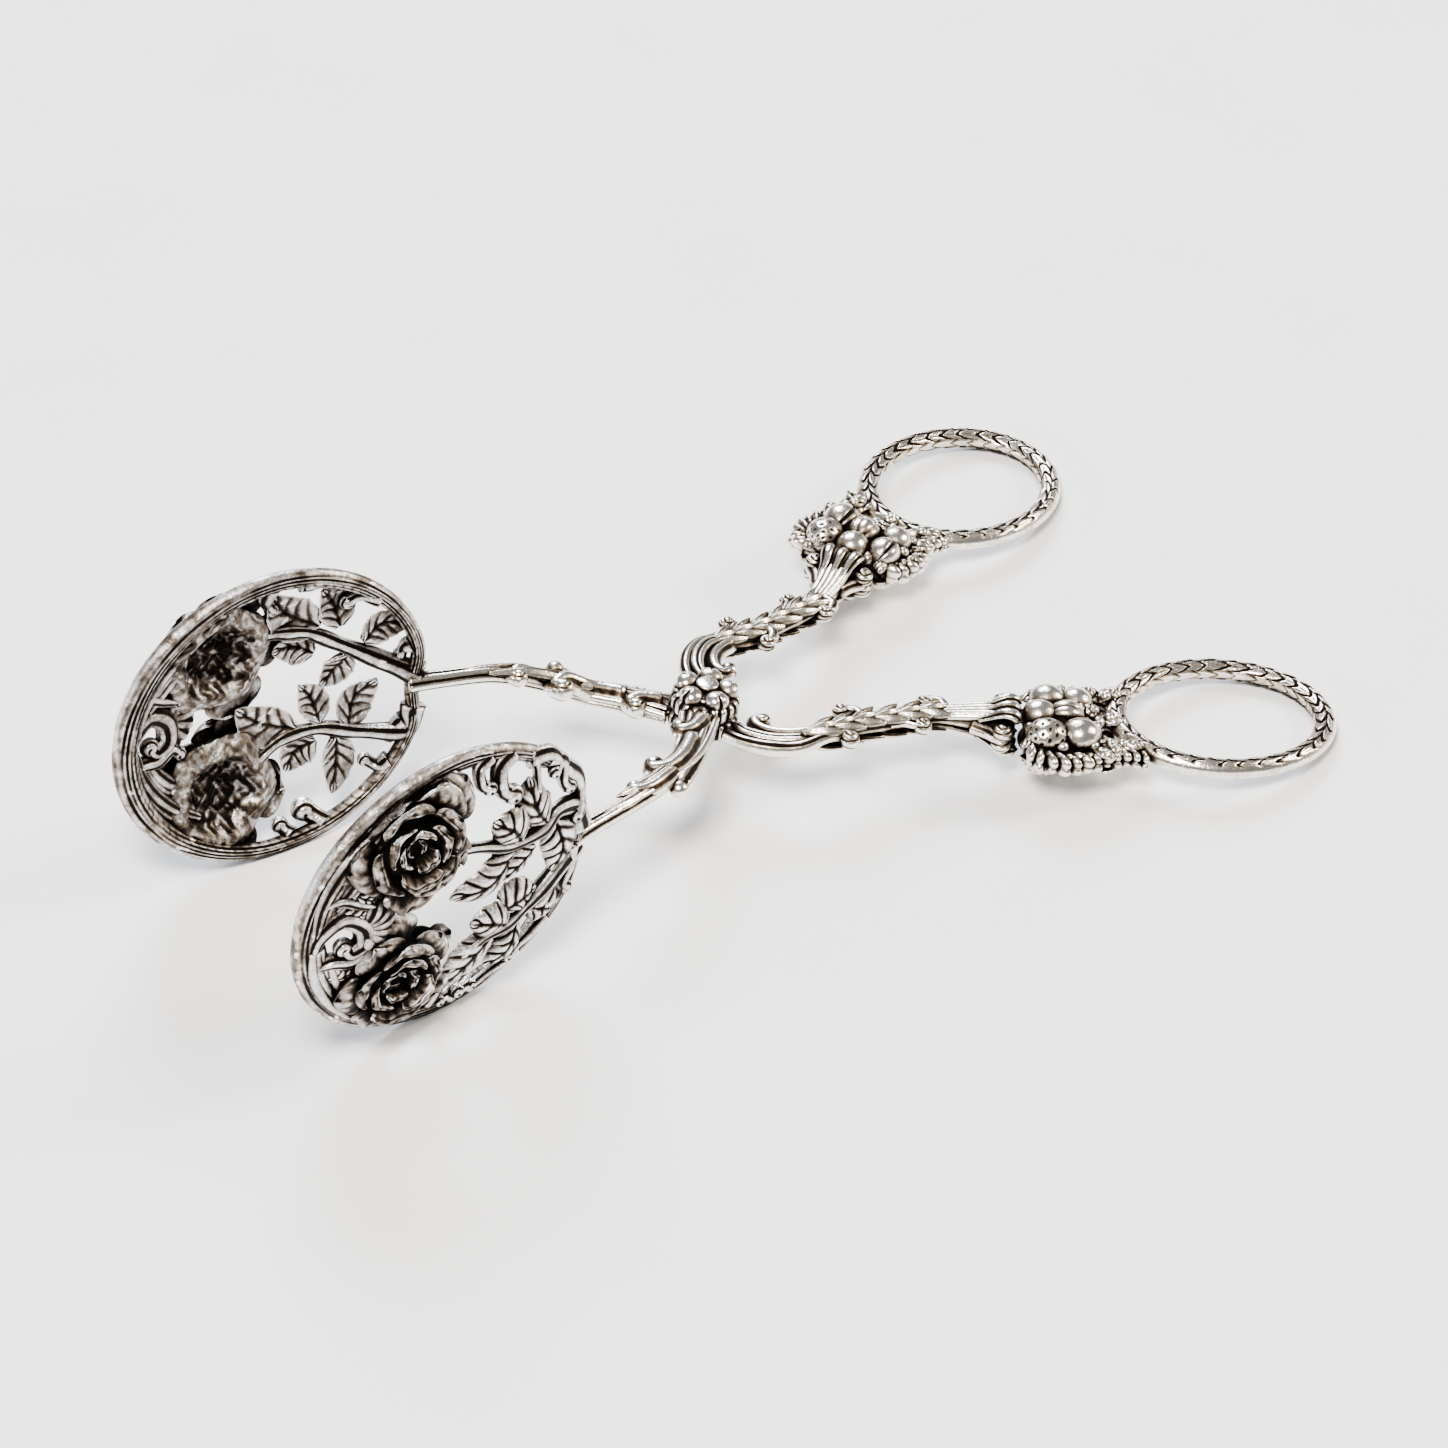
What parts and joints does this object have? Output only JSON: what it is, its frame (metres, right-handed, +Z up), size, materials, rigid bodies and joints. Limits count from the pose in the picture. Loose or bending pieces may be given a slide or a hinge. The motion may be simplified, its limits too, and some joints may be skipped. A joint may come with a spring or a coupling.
{
  "type": "ice tongs",
  "caption": "Scissor-action cast silver serving tongs for ice, with oval finger rings, fruit clusters and openwork jaws of roses and leaves.",
  "frame": {"origin": "bottom centre of the tongs' box, on the table that they lie on", "axes": "+X from the jaws to the finger rings, +Y towards arm A's finger ring, +Z up from the table"},
  "size_m": [0.1886, 0.1056, 0.0525],
  "materials": {
    "cast_silver": "polished cast silver with worn high points",
    "patinated_silver": "oxidised cast silver, dark in the recesses"
  },
  "bodies": {
    "arm_b": {"hub_eye_b": "cast_silver", "jaw_arm_b": "cast_silver", "handle_stem_b": "cast_silver", "scroll_collar_b": "cast_silver", "fruit_cluster_b": "patinated_silver", "finger_ring_b": "cast_silver", "jaw_rim_b": "cast_silver", "upper_rose_b": "patinated_silver", "lower_rose_b": "patinated_silver", "upper_spray_b": "patinated_silver", "lower_spray_b": "patinated_silver", "jaw_shell_b": "patinated_silver", "pivot_rivet": "cast_silver", "rivet_rosette": "cast_silver", "rivet_washer": "cast_silver"},
    "arm_a": {"hub_eye_a": "cast_silver", "jaw_arm_a": "cast_silver", "handle_stem_a": "cast_silver", "scroll_collar_a": "cast_silver", "fruit_cluster_a": "patinated_silver", "finger_ring_a": "cast_silver", "jaw_rim_a": "cast_silver", "upper_rose_a": "patinated_silver", "lower_rose_a": "patinated_silver", "upper_spray_a": "patinated_silver", "lower_spray_a": "patinated_silver", "jaw_shell_a": "patinated_silver"}
  },
  "joints": [
    {"name": "pivot_hinge", "type": "hinge", "parent": "arm_b", "child": "arm_a", "pos_m": [-0.00087, 0, 0.01516], "axis": [0.1461, 0, 0.9893], "range_deg": [-28, 20]}
  ]
}
